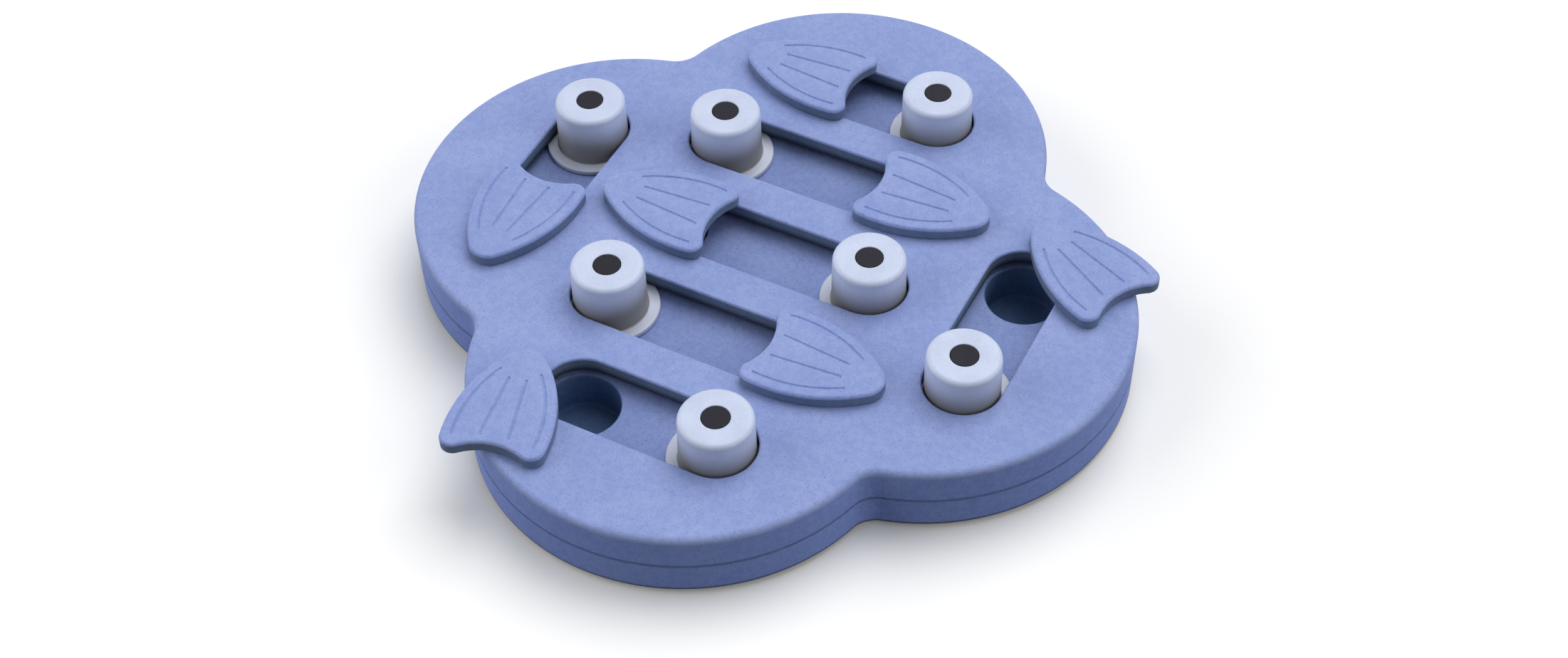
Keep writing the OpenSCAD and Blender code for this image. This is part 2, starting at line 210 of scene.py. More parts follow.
class KnobSettings(PropertyGroup):
    """Shape and colours of the sliding knobs"""

    foot_radius: FloatProperty(
        name="Knob radius", description="Radius of the knob at its foot",
        default=0.0159, min=0.014, max=0.016, subtype="DISTANCE",
    )
    draft: FloatProperty(
        name="Draft", description="How much narrower the knob is at its top",
        default=0.00035, min=0.0, max=0.001, subtype="DISTANCE",
    )
    crown: FloatProperty(
        name="Crown rounding", description="Radius of the knob's rounded top edge",
        default=0.0022, min=0.001, max=0.004, subtype="DISTANCE",
    )
    flange_radius: FloatProperty(
        name="Flange radius", description="Radius of the flange under the slot's lips",
        default=0.021, min=0.018, max=0.021, subtype="DISTANCE",
    )
    colour: FloatVectorProperty(
        name="Knob colour", description="Light grey of the knob",
        default=(0.555, 0.625, 0.815), size=3, min=0.0, max=1.0, subtype="COLOR",
    )
    flange_colour: FloatVectorProperty(
        name="Flange colour", description="Light grey of the flange under the slot's lips",
        default=(0.52, 0.56, 0.68), size=3, min=0.0, max=1.0, subtype="COLOR",
    )
    plug_colour: FloatVectorProperty(
        name="Plug colour", description="Dark insert in the knob's top",
        default=(0.014, 0.014, 0.021), size=3, min=0.0, max=1.0, subtype="COLOR",
    )
    # Painted shade: a darker, greyer tone low on the knob's side
    foot_shade_colour: FloatVectorProperty(
        name="Foot shade colour", description="Duller grey low on the knob's side",
        default=(0.215, 0.215, 0.225), size=3, min=0.0, max=1.0, subtype="COLOR",
    )


class FlipperSettings(PropertyGroup):
    """Shape and painted edge shade of the fish-tail flippers"""

    thickness: FloatProperty(
        name="Thickness", description="Thickness of a flipper",
        default=0.006, min=0.004, max=0.007, subtype="DISTANCE",
    )
    edge_round: FloatProperty(
        name="Edge rounding", description="Radius of a flipper's upper edge",
        default=0.0015, min=0.0005, max=0.0025, subtype="DISTANCE",
    )
    groove_width: FloatProperty(
        name="Groove width", description="Width of the engraved lines",
        default=0.0015, min=0.0008, max=0.002, subtype="DISTANCE",
    )
    groove_depth: FloatProperty(
        name="Groove depth", description="Depth of the engraved lines",
        default=0.00065, min=0.0003, max=0.0015, subtype="DISTANCE",
    )
    # Painted shade: darkens the board's colours on a flipper's upright edge
    edge_shade_tint: FloatVectorProperty(
        name="Edge shade tint", description="Multiplies the board's colours on a flipper's upright edge",
        default=(0.52, 0.56, 0.46), size=3, min=0.0, max=1.0, subtype="COLOR",
    )


class StudioSettings(PropertyGroup):
    """Light, floor and camera"""

    lens: FloatProperty(
        name="Lens", description="Focal length in millimetres on a 36 mm wide sensor",
        default=52.2, min=20.0, max=200.0,
    )
    sky: FloatProperty(
        name="Sky strength", description="Strength of the even light all round",
        default=0.20, min=0.0, max=2.0,
    )
    key: FloatProperty(
        name="Key strength", description="Strength of the soft light from above and behind",
        default=1.85, min=0.0, max=20.0,
    )
    fill: FloatProperty(
        name="Fill strength", description="Strength of the two soft lights at the sides",
        default=1.45, min=0.0, max=20.0,
    )
    floor_grey: FloatProperty(
        name="Floor grey", description="How light the floor is to the light that it throws back",
        default=0.06, min=0.0, max=1.0,
    )
    floor_white: FloatProperty(
        name="Floor white", description="How light the floor looks to the camera",
        default=1.0, min=0.0, max=1.0,
    )
    floor_glow: FloatProperty(
        name="Floor glow", description="Lifts the floor's shadows a little for the camera",
        default=0.05, min=0.0, max=1.0,
    )


SETTINGS = {
    "treat_board": BoardSettings,
    "treat_knobs": KnobSettings,
    "treat_flippers": FlipperSettings,
    "treat_studio": StudioSettings,
}


def in_mm(length):
    """A length property, in millimetres."""
    return length / MM


# ---- Outlines: closed loops of points, counter-clockwise from above ----


def arc_points(centre, radius, start, stop, steps):
    """Centre plus radius times (cos, sin) of equally spaced bearings, without the last."""
    turn = np.radians(np.linspace(start, stop, steps, endpoint=False))
    return np.asarray(centre) + radius * np.column_stack((np.cos(turn), np.sin(turn)))


def circle_loop(centre, radius, steps=BORE_ROUND):
    """A full circle of points."""
    return arc_points(centre, radius, 0.0, 360.0, steps)


def turned(points, degrees):
    """Points turned about the origin by an angle."""
    c, s = bearing_vector(degrees)
    return points @ np.array(((c, s), (-s, c)))


def board_loop(inset):
    """Four convex lobe arcs joined by four hollow arcs, all tangent, drawn in by an inset.

    The hollow arcs' centres lie on the diagonals, a lobe radius plus a hollow radius away
    from the lobes' centres, so both arcs end on the line between their centres.
    """
    reach = LOBE_R + HOLLOW_R
    diagonal = (LOBE_C + math.sqrt(2 * reach * reach - LOBE_C * LOBE_C)) / 2
    lobe_turn = math.degrees(math.atan2(diagonal, diagonal - LOBE_C))
    lobe = arc_points((LOBE_C, 0), LOBE_R - inset, -lobe_turn, lobe_turn, 84)
    hollow = arc_points(
        (diagonal, diagonal), HOLLOW_R + inset, 180 + lobe_turn, 270 - lobe_turn, 14
    )
    quarter = np.vstack((lobe, hollow))
    return np.vstack([turned(quarter, a) for a in QUARTERS])


def slot_loop(track, radius):
    """A bar with round ends: half circles about both ends of a track."""
    start, end = np.array(track[0]), np.array(track[1])
    heading = math.degrees(math.atan2(*(end - start)[::-1]))
    return np.vstack((
        arc_points(end, radius, heading - 90, heading + 90, 40),
        arc_points(start, radius, heading + 90, heading + 270, 40),
    ))


# A flipper lies along +X with its pivot at the origin. Its sides are arcs about two points
# abreast of its widest place, and the other arcs' centres follow from where they touch.
FLIPPER_SIDE_R = 64.0
FLIPPER_HALF = 22.2
FLIPPER_WIDEST = 38.0
NOSE_R = 9.15
CORNER_R = 5.5
CORNER_X = 44.1
FORK_R = 26.0
SIDE_C = FLIPPER_SIDE_R - FLIPPER_HALF
NOSE_X = FLIPPER_WIDEST - math.sqrt((FLIPPER_SIDE_R - NOSE_R) ** 2 - SIDE_C**2)
CORNER_Y = (
    math.sqrt((FLIPPER_SIDE_R - CORNER_R) ** 2 - (CORNER_X - FLIPPER_WIDEST) ** 2) - SIDE_C
)
FORK_X = CORNER_X + math.sqrt((FORK_R + CORNER_R) ** 2 - CORNER_Y**2)

# The inner lines' ends, and the outer lines' distance from the edge and their bearings
INNER_GROOVE = ((11.1, 3.7), (41.1, 6.0))
OUTER_GROOVE_INSET = 4.8
OUTER_GROOVE_ARC = (121.5, 83.5)

# A line's cross-section from its brim to its middle: shares of its half width and its depth
GROOVE_ACROSS = (1.18, 1.06, 0.94, 0.8, 0.6, 0.35, 0.0)
GROOVE_DOWN = (0.0, 0.03, 0.12, 0.38, 0.74, 0.95, 1.0)


def flipper_loop(inset):
    """Six tangent arcs about fixed centres: side, corner, hollow end, corner, side and nose.

    An inset shortens the radius of the convex arcs and lengthens that of the hollow one.
    """
    nose = math.degrees(math.atan2(SIDE_C, NOSE_X - FLIPPER_WIDEST))
    corner = math.degrees(math.atan2(CORNER_Y + SIDE_C, CORNER_X - FLIPPER_WIDEST))
    fork = math.degrees(math.atan2(CORNER_Y, FORK_X - CORNER_X))
    side_r, corner_r = FLIPPER_SIDE_R - inset, CORNER_R - inset
    return np.vstack((
        arc_points((FLIPPER_WIDEST, SIDE_C), side_r, -nose, -corner, 48),
        arc_points((CORNER_X, -CORNER_Y), corner_r, -corner, fork, 24),
        arc_points((FORK_X, 0), FORK_R + inset, 180 + fork, 180 - fork, 36),
        arc_points((CORNER_X, CORNER_Y), corner_r, -fork, corner, 24),
        arc_points((FLIPPER_WIDEST, -SIDE_C), side_r, corner, nose, 48),
        arc_points((NOSE_X, 0), NOSE_R - inset, nose, 360 - nose, 40),
    ))


def offset_loop(path, distance, cap_steps=8):
    """A loop at one distance all round an open path: its points moved along their normals
    to one side and the other, with half circles about its two ends. At no distance it
    runs along the path and back, which closes when the mesh is welded."""
    tangent = np.gradient(path, axis=0)
    tangent /= np.linalg.norm(tangent, axis=1)[:, None]
    normal = np.column_stack((-tangent[:, 1], tangent[:, 0]))
    first = math.degrees(math.atan2(tangent[0, 1], tangent[0, 0]))
    last = math.degrees(math.atan2(tangent[-1, 1], tangent[-1, 0]))
    return np.vstack((
        path[:-1] - distance * normal[:-1],
        arc_points(path[-1], distance, last - 90, last + 90, cap_steps),
        path[:0:-1] + distance * normal[:0:-1],
        arc_points(path[0], distance, first + 90, first + 270, cap_steps),
    ))


def groove_paths():
    """Middle lines of the four engraved lines: two straight ones and two arcs about the
    centres of the flipper's sides."""
    start, end = np.array(INNER_GROOVE)
    t = np.linspace(0, 1, 24)[:, None]
    inner = start * (1 - t) + end * t
    radius = FLIPPER_SIDE_R - OUTER_GROOVE_INSET
    outer = arc_points((FLIPPER_WIDEST, -SIDE_C), radius, *OUTER_GROOVE_ARC, 36)
    mirror = np.array((1, -1))
    return [inner, outer, inner * mirror, outer * mirror]


# ---- Surfaces ----


def add_object(name, data):
    """A new object in the scene, made of a mesh, a lamp or a camera."""
    item = bpy.data.objects.new(name, data)
    bpy.context.scene.collection.objects.link(item)
    return item


def quarter_round(radius, steps):
    """Insets and rises of a quarter circle: r (1 - cos a) and r sin a, from wall to flat."""
    a = np.linspace(0, math.pi / 2, steps + 1)
    return np.column_stack((radius * (1 - np.cos(a)), radius * np.sin(a)))


class Surface:
    """Gathers grids and flats in millimetres, each with the number of its finish among the
    piece's materials, then welds them into one closed mesh."""

    def __init__(self):
        self.points = []
        self.faces = []
        self.finishes = []
        self.count = 0

    def add(self, points, faces, finish):
        """Takes one more patch: an array of points, an array of corner numbers and the
        number of its finish."""
        self.faces.extend((np.asarray(faces) + self.count).tolist())
        self.finishes.extend([finish] * len(faces))
        self.points.append(points)
        self.count += len(points)

    def rings(self, loops, heights, inward=False, finish=0):
        """Quads between loops of equal length, each at its height. The grid's columns run
        round the loop and its rows run from loop to loop. The faces look to the loops'
        outside when the rows climb, and inward turns them round."""
        n, rows = len(loops[0]), len(loops)
        xyz = np.vstack([
            np.column_stack((loop, np.full(n, float(z)))) for loop, z in zip(loops, heights)
        ])
        row, col = np.meshgrid(np.arange(rows - 1), np.arange(n), indexing="ij")
        a = (row * n + col).ravel()
        b = (row * n + (col + 1) % n).ravel()
        quads = np.column_stack((a, b, b + n, a + n))
        self.add(xyz, quads[:, ::-1] if inward else quads, finish)

    def revolve(self, centre, profile, steps=BORE_ROUND, inward=False, finish=0):
        """A profile of (radius, height) points carried round an upright axis. A point on
        the axis becomes one shared vertex when the mesh is welded."""
        loops = [circle_loop(centre, max(r, NEAR_ZERO), steps) for r, _ in profile]
        self.rings(loops, [z for _, z in profile], inward, finish)

    def flat(self, outline, holes, height, up=True, finish=0):
        """A level face inside an outline and outside its holes, cut into triangles by a
        constrained Delaunay net. A triangle stays if its middle passes the even-odd test
        against all the loops."""
        loops = [outline] + list(holes)
        points = np.vstack(loops)
        starts = np.cumsum([0] + [len(loop) for loop in loops])
        edges = np.vstack([
            np.column_stack((np.arange(s, e), np.roll(np.arange(s, e), -1)))
            for s, e in zip(starts[:-1], starts[1:])
        ])
        net = delaunay_2d_cdt(points.tolist(), edges.tolist(), [], 0, NEAR_ZERO)
        xy = np.array(net[0])
        tris = np.array(net[2])
        middle = xy[tris].mean(axis=1)
        a, b = points[edges[:, 0]], points[edges[:, 1]]
        above = (a[None, :, 1] > middle[:, None, 1]) != (b[None, :, 1] > middle[:, None, 1])
        with np.errstate(divide="ignore", invalid="ignore"):
            cross = (b[:, 0] - a[:, 0]) * (middle[:, None, 1] - a[:, 1]) / (b[:, 1] - a[:, 1])
        inside = (above & (middle[:, None, 0] < a[:, 0] + cross)).sum(axis=1) % 2 == 1
        tris = tris[inside]
        one, two = xy[tris[:, 1]] - xy[tris[:, 0]], xy[tris[:, 2]] - xy[tris[:, 0]]
        turn = one[:, 0] * two[:, 1] < one[:, 1] * two[:, 0]
        tris[turn] = tris[turn][:, ::-1]
        level = np.column_stack((xy, np.full(len(xy), float(height))))
        self.add(level, tris if up else tris[:, ::-1], finish)

    def build(self, name, sharp=32.0):
        """The welded mesh object in metres, smooth except along edges sharper than an angle.
        Each face keeps the number of its finish."""
        mesh = bpy.data.meshes.new(name)
        mesh.from_pydata((np.vstack(self.points) * MM).tolist(), [], self.faces)
        mesh.polygons.foreach_set("material_index", self.finishes)
        work = bmesh.new()
        work.from_mesh(mesh)
        bmesh.ops.remove_doubles(work, verts=work.verts, dist=WELD)
        bmesh.ops.dissolve_degenerate(work, edges=work.edges, dist=WELD / 2)
        work.to_mesh(mesh)
        work.free()
        mesh.shade_smooth()
        mesh.set_sharp_from_angle(angle=math.radians(sharp))
        mesh.update()
        return add_object(name, mesh)


def finish_piece(piece, body, slot, materials, *nodes):
    """Gives a piece its materials, in the order of its finish numbers, and its body, and hides the
    nodes that it stands for. The finish slot is not used."""
    for material in materials:
        piece.data.materials.append(material)
    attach(piece, body)
    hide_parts(*nodes)


# ---- Materials ----

# What each shader group puts out
FINISH_OUTPUTS = (
    ("Color", "NodeSocketColor"), ("Roughness", "NodeSocketFloat"), ("Height", "NodeSocketFloat"),
)

# A Mix node's sockets for colours, which share their names with those for other kinds
MIX_FACTOR, MIX_A, MIX_B, MIX_RESULT = 0, 6, 7, 2

# Noises: waves per metre, detail and roughness
CLOUD_NOISE = (38.0, 4.0, 0.6)
MOTTLE_NOISE = (330.0, 3.0, 0.6)
GRAIN_NOISE = (1300.0, 2.0, 0.5)
BROAD_NOISE = (90.0, 3.0, 0.5)
FINE_NOISE = (1100.0, 2.0, 0.5)

# The noise values between which each effect comes in
CLOUD_RANGE = (0.36, 0.66)
MOTTLE_RANGE = (0.36, 0.64)
FLECK_RANGE = (0.56, 0.70)
BROAD_RANGE = (0.35, 0.7)
SPECK_RANGE = (0.5, 0.72)

# How much each effect changes the colour or the height
HAZE_SHARE = 0.44
FLECK_SHARE = 0.62
MOTTLE_RELIEF = 0.6
BROAD_SHARE = 0.3
SPECK_SHARE = 0.35

COMPOSITE_ROUGHNESS = (0.56, 0.68)
COMPOSITE_BUMP = 0.00006
COMPOSITE_SPECULAR = 0.12
SMOOTH_ROUGHNESS = (0.42, 0.52)

# Painted shadow: near-black blue low on the slot walls, where the gap under the lips lies in shade
SLOT_PAINTED_SHADOW = (0.016, 0.024, 0.040)
# Painted shadow: near-black at the board's bottom edge, just above the floor
BASE_PAINTED_SHADOW = (0.012, 0.014, 0.020)
PLUG_SPECK = (0.024, 0.024, 0.033)
RUBBER = (0.02, 0.02, 0.022)
RUBBER_SPECK = (0.035, 0.035, 0.038)
STEEL = (0.55, 0.56, 0.58)
STEEL_SPECK = (0.4, 0.41, 0.43)


def new_group(name, **greys):
    """A shader group with a Vector input, an input for each named colour, which starts as
    the grey given, and the outputs of a finish."""
    group = bpy.data.node_groups.new(name, "ShaderNodeTree")
    group.interface.new_socket("Vector", in_out="INPUT", socket_type="NodeSocketVector")
    for label, grey in greys.items():
        socket = group.interface.new_socket(label, in_out="INPUT", socket_type="NodeSocketColor")
        socket.default_value = (grey, grey, grey, 1.0)
    for label, kind in FINISH_OUTPUTS:
        group.interface.new_socket(label, in_out="OUTPUT", socket_type=kind)
    return group, group.nodes.new("NodeGroupInput"), group.nodes.new("NodeGroupOutput")


def add_noise(tree, vector, scale, detail, rough):
    """A noise texture on a vector, its scale in waves per metre."""
    noise = tree.nodes.new("ShaderNodeTexNoise")
    noise.inputs["Scale"].default_value = scale
    noise.inputs["Detail"].default_value = detail
    noise.inputs["Roughness"].default_value = rough
    tree.links.new(vector, noise.inputs["Vector"])
    return noise.outputs["Fac"]


def add_range(tree, value, low, high, to_low=0.0, to_high=1.0):
    """Maps low..high to another range, with a smooth step."""
    step = tree.nodes.new("ShaderNodeMapRange")
    step.interpolation_type = "SMOOTHSTEP"
    step.inputs["From Min"].default_value = low
    step.inputs["From Max"].default_value = high
    step.inputs["To Min"].default_value = to_low
    step.inputs["To Max"].default_value = to_high
    tree.links.new(value, step.inputs["Value"])
    return step.outputs["Result"]


def add_math(tree, operation, first, second):
    """One Math node on two values, each a socket or a number."""
    node = tree.nodes.new("ShaderNodeMath")
    node.operation = operation
    for socket, value in zip(node.inputs, (first, second)):
        if isinstance(value, (int, float)):
            socket.default_value = value
        else:
            tree.links.new(value, socket)
    return node.outputs[0]


def add_mix(tree, factor, first, second):
    """Mixes two colours, each a socket or three numbers, by a factor's socket."""
    node = tree.nodes.new("ShaderNodeMix")
    node.data_type = "RGBA"
    tree.links.new(factor, node.inputs[MIX_FACTOR])
    for socket, value in zip((node.inputs[MIX_A], node.inputs[MIX_B]), (first, second)):
        if isinstance(value, (tuple, list)):
            socket.default_value = (*value, 1.0)
        else:
            tree.links.new(value, socket)
    return node.outputs[MIX_RESULT]


def put_out(group, sink, *values):
    """Joins values to a group's outputs, in their order."""
    for value, socket in zip(values, sink.inputs):
        group.links.new(value, socket)
    return group


def composite_group():
    """Moulded plastic and wood-fibre composite: cloudy haze, a fine mottle and small flecks.

    Colour is the base mixed toward the haze by the sum of a broad and a fine noise, and then
    toward the fleck colour where a still finer grain is high. Height is the grain plus a part
    of the fine noise. Roughness rises with the broad noise.
    """
    group, source, sink = new_group("moulded composite", Base=0.5, Fleck=0.3, Haze=0.7)
    vector = source.outputs["Vector"]
    cloud = add_range(group, add_noise(group, vector, *CLOUD_NOISE), *CLOUD_RANGE)
    mottle = add_range(group, add_noise(group, vector, *MOTTLE_NOISE), *MOTTLE_RANGE)
    grain = add_noise(group, vector, *GRAIN_NOISE)
    flecks = add_range(group, grain, *FLECK_RANGE)
    pale = add_math(group, "MULTIPLY", add_math(group, "ADD", cloud, mottle), HAZE_SHARE)
    hazed = add_mix(group, pale, source.outputs["Base"], source.outputs["Haze"])
    dark = add_math(group, "MULTIPLY", flecks, FLECK_SHARE)
    colour = add_mix(group, dark, hazed, source.outputs["Fleck"])
    roughness = add_range(group, cloud, 0.0, 1.0, *COMPOSITE_ROUGHNESS)
    height = add_math(group, "ADD", add_math(group, "MULTIPLY", mottle, MOTTLE_RELIEF), grain)
    return put_out(group, sink, colour, roughness, height)


def speckle_group():
    """A faint two-scale variation for smooth mouldings.

    Color is the base mixed toward the shade by a broad noise and by specks where a fine noise
    is high. Height is the fine noise, and roughness rises with the broad one.
    """
    group, source, sink = new_group("moulded speckle", Base=0.5, Shade=0.4)
    vector = source.outputs["Vector"]
    broad = add_range(group, add_noise(group, vector, *BROAD_NOISE), *BROAD_RANGE)
    fine = add_noise(group, vector, *FINE_NOISE)
    speck = add_math(group, "MULTIPLY", add_range(group, fine, *SPECK_RANGE), SPECK_SHARE)
    amount = add_math(group, "ADD", add_math(group, "MULTIPLY", broad, BROAD_SHARE), speck)
    colour = add_mix(group, amount, source.outputs["Base"], source.outputs["Shade"])
    roughness = add_range(group, broad, 0.0, 1.0, *SMOOTH_ROUGHNESS)
    return put_out(group, sink, colour, roughness, fine)


def new_material(name):
    """A material with its node tree and its Principled shader."""
    material = bpy.data.materials.new(name)
    material.use_nodes = True
    return material, material.node_tree, material.node_tree.nodes["Principled BSDF"]


def surface_material(name, group, colours, bump, specular, shift):
    """A Principled material whose colour, roughness and bump come from a shader group on
    Object coordinates. Bump is the relief's depth, and shift moves the pattern so that like
    pieces differ. Both are in metres."""
    material, tree, shader = new_material(name)
    shader.inputs["Specular IOR Level"].default_value = specular
    place = tree.nodes.new("ShaderNodeTexCoord")
    mapping = tree.nodes.new("ShaderNodeMapping")
    mapping.inputs["Location"].default_value = shift
    tree.links.new(place.outputs["Object"], mapping.inputs["Vector"])
    use = tree.nodes.new("ShaderNodeGroup")
    use.node_tree = group
    tree.links.new(mapping.outputs["Vector"], use.inputs["Vector"])
    for label, colour in colours.items():
        use.inputs[label].default_value = (*colour, 1.0)
    tree.links.new(use.outputs["Color"], shader.inputs["Base Color"])
    tree.links.new(use.outputs["Roughness"], shader.inputs["Roughness"])
    relief = tree.nodes.new("ShaderNodeBump")
    relief.inputs["Distance"].default_value = bump
    tree.links.new(use.outputs["Height"], relief.inputs["Height"])
    tree.links.new(relief.outputs["Normal"], shader.inputs["Normal"])
    return material


def composite_material(name, shift=(0.0, 0.0, 0.0), tint=(1.0, 1.0, 1.0)):
    """The board's mottled blue composite, its colours multiplied by a tint."""
    board = bpy.context.scene.treat_board
    group = bpy.data.node_groups.get("moulded composite") or composite_group()
    plain = {"Base": board.colour, "Fleck": board.fleck, "Haze": board.haze}
    colours = {label: [c * t for c, t in zip(colour, tint)] for label, colour in plain.items()}
    return surface_material(name, group, colours, COMPOSITE_BUMP, COMPOSITE_SPECULAR, shift)


def speckle_material(name, base, shade, bump=0.00002, specular=0.5, shift=(0.0, 0.0, 0.0)):
    """A smooth moulding of one colour with faint specks of a second one."""
    group = bpy.data.node_groups.get("moulded speckle") or speckle_group()
    return surface_material(name, group, {"Base": base, "Shade": shade}, bump, specular, shift)


def paint_shade_low(material, colour, low, high):
    """Paints shade into a material's colour by mixing in a darker one: all of it below one height,
    none above a higher one, and a smooth step between them. The heights are in millimetres."""
    tree = material.node_tree
    base = tree.nodes["Principled BSDF"].inputs["Base Color"]
    parts = tree.nodes.new("ShaderNodeSeparateXYZ")
    tree.links.new(tree.nodes["Texture Coordinate"].outputs["Object"], parts.inputs["Vector"])
    amount = add_range(tree, parts.outputs["Z"], high * MM, low * MM)
    tree.links.new(add_mix(tree, amount, base.links[0].from_socket, tuple(colour)), base)


# ---- Pieces ----


class TREAT_OT_upper_shell(Operator):
    """Upper half shell: rounded rim, seven slots with lips, pivot bosses and screw bosses"""

    bl_idname = "treat.upper_shell"
    bl_label = "Upper shell"

    def execute(self, context):
        board = context.scene.treat_board
        rim = quarter_round(in_mm(board.rim_round), 9)
        mouth = quarter_round(in_mm(board.mouth_round), 5)
        seam = in_mm(board.seam)
        inside, side = 1, 2  # numbers of the blues below
        shell = Surface()
        insets = [seam, 0.0, 0.0, *rim[:, 0], rim[-1, 0] + GUARD]
        rise = TOP_Z - rim[-1, 1] + rim[:, 1]
        heights = [PARTING_Z, PARTING_Z + seam, rise[0] - GUARD, *rise, TOP_Z]
        outline = [board_loop(i) for i in insets]
        wall = board_loop(WALL)
        shell.rings(outline[:4], heights[:4], finish=side)
        shell.rings(outline[3:], heights[3:])
        shell.rings([wall] * 2, [PARTING_Z, CEILING_Z], inward=True, finish=inside)
        shell.rings([wall, outline[0]], [PARTING_Z, PARTING_Z], finish=inside)
        pivot_boss = [
            (PIVOT_BORE_R, TOP_Z), (PIVOT_BORE_R, PIVOT_BOSS_Z),
            (PIVOT_BOSS_R, PIVOT_BOSS_Z), (PIVOT_BOSS_R, CEILING_Z),
        ]
        inner_boss = [
            (0.0, SCREW_BORE_TOP_Z), (SCREW_BORE_R, SCREW_BORE_TOP_Z), (SCREW_BORE_R, PARTING_Z),
            (BOSS_R, PARTING_Z), (BOSS_R, CEILING_Z),
        ]
        collar = [(BOSS_R, DECK_TOP_Z), (COLLAR_R, DECK_TOP_Z), (COLLAR_R, CEILING_Z)]
        rim_boss = inner_boss[:-1] + collar
        top_holes, ceiling_holes = [], []
        widths = SLOT_R + mouth[:, 0]
        radii = [LIP_R, SLOT_R, SLOT_R, *widths, widths[-1] + GUARD]
        rise = TOP_Z - mouth[-1, 1] + mouth[:, 1]
        levels = [LIP_Z, LIP_Z, rise[0] - GUARD, *rise, TOP_Z]
        for track in TRACKS:
            loops = [slot_loop(track, r) for r in radii]
            shell.rings(loops[:3], levels[:3], inward=True, finish=inside)
            shell.rings(loops[2:], levels[2:], inward=True)
            shell.rings([loops[0]] * 2, [LIP_Z, CEILING_Z], finish=inside)
            top_holes.append(loops[-1])
            ceiling_holes.append(loops[0])
        for pivot in PIVOTS:
            shell.revolve(pivot, pivot_boss, finish=inside)
            top_holes.append(circle_loop(pivot, PIVOT_BORE_R))
            ceiling_holes.append(circle_loop(pivot, PIVOT_BOSS_R))
        for place in SCREWS:
            boss = rim_boss if place in RIM_SCREWS else inner_boss
            shell.revolve(place, boss, finish=inside)
            ceiling_holes.append(circle_loop(place, boss[-1][0]))
        shell.flat(outline[-1], top_holes, TOP_Z)
        shell.flat(wall, ceiling_holes, CEILING_Z, up=False, finish=inside)
        piece = shell.build("board_top_shell")
        blues = (
            composite_material("top shell blue"),
            # Painted shade: the inside finish darkens the slot walls, the lips' undersides and the
            # shell's inside
            composite_material("slot wall shaded blue", shift=(0.2, 0.2, 0.1), tint=board.recess_shade),
            # Painted shade on the upper side wall
            composite_material("upper side shaded blue", tint=board.side),
        )
        # Painted shadow: the inside finish turns near-black from a little above the lips'
        # undersides downward
        paint_shade_low(blues[inside], SLOT_PAINTED_SHADOW, LIP_Z - 0.5, LIP_Z + 4.0)
        finish_piece(piece, "board", "board", blues, "upper_shell")
        return {"FINISHED"}


class TREAT_OT_lower_shell(Operator):
    """Lower half shell: side wall below the parting line, floor, screw posts and foot recesses"""

    bl_idname = "treat.lower_shell"
    bl_label = "Lower shell"

    def execute(self, context):
        board = context.scene.treat_board
        base = quarter_round(in_mm(board.base_round), 7)[::-1]
        seam = in_mm(board.seam)
        side, joint = 0, 1  # numbers of the blues below
        shell = Surface()
        rise = FOOT_H + base[0, 1] - base[:, 1]
        insets = [base[0, 0] + GUARD, *base[:, 0], 0.0, 0.0, seam]
        heights = [FOOT_H, *rise, rise[-1] + GUARD, PARTING_Z - seam, PARTING_Z]
        outline = [board_loop(i) for i in insets]
        wall = board_loop(WALL)
        shell.rings(outline[:-1], heights[:-1])
        shell.rings(outline[-2:], heights[-2:], finish=joint)
        shell.rings([outline[-1], wall], [PARTING_Z, PARTING_Z], finish=joint)
        shell.rings([wall] * 2, [PARTING_Z, SHELL_FLOOR_Z])
        foot_r, cup_r = FOOT_R + FOOT_GAP, CUP_R + CUP_GAP
        foot_seat = [(foot_r, FOOT_H), (foot_r, FOOT_TOP_Z), (0.0, FOOT_TOP_Z)]
        cup_seat = [(0.0, CUP_BASE_Z), (cup_r, CUP_BASE_Z), (cup_r, SHELL_FLOOR_Z)]
        post = [
            (SCREW_HEAD_HOLE_R, FOOT_H), (SCREW_HEAD_HOLE_R, SCREW_SEAT_Z),
            (SCREW_SHANK_HOLE_R, SCREW_SEAT_Z), (SCREW_SHANK_HOLE_R, PARTING_Z),
            (POST_R, PARTING_Z), (POST_R, SHELL_FLOOR_Z),
        ]
        under, floor = [], []
        for foot in FEET:
            shell.revolve(foot, foot_seat, inward=True)
            under.append(circle_loop(foot, foot_r))
        for place in SCREWS:
            shell.revolve(place, post, inward=True)
            under.append(circle_loop(place, SCREW_HEAD_HOLE_R))
            floor.append(circle_loop(place, POST_R))
        for well in WELLS:
            shell.revolve(well, cup_seat, WELL_ROUND, inward=True)
            floor.append(circle_loop(well, cup_r, WELL_ROUND))
        shell.flat(outline[0], under, FOOT_H, up=False)
        shell.flat(wall, floor, SHELL_FLOOR_Z)
        piece = shell.build("board_bottom_shell")
        blues = (
            # Painted shade on the lower side wall
            composite_material("lower side shaded blue", shift=(0.3, 0.1, 0.2), tint=board.side),
            # Painted shade in the parting line
            composite_material("seam shaded blue", shift=(0.1, 0.2, 0.2), tint=board.seam_shade_tint),
        )
        # Painted shadow: the lower side darkens to near-black toward its bottom edge
        paint_shade_low(blues[side], BASE_PAINTED_SHADOW, FOOT_H + 0.7, FOOT_H + 2.8)
        finish_piece(piece, "board", "board", blues, "lower_shell")
        return {"FINISHED"}


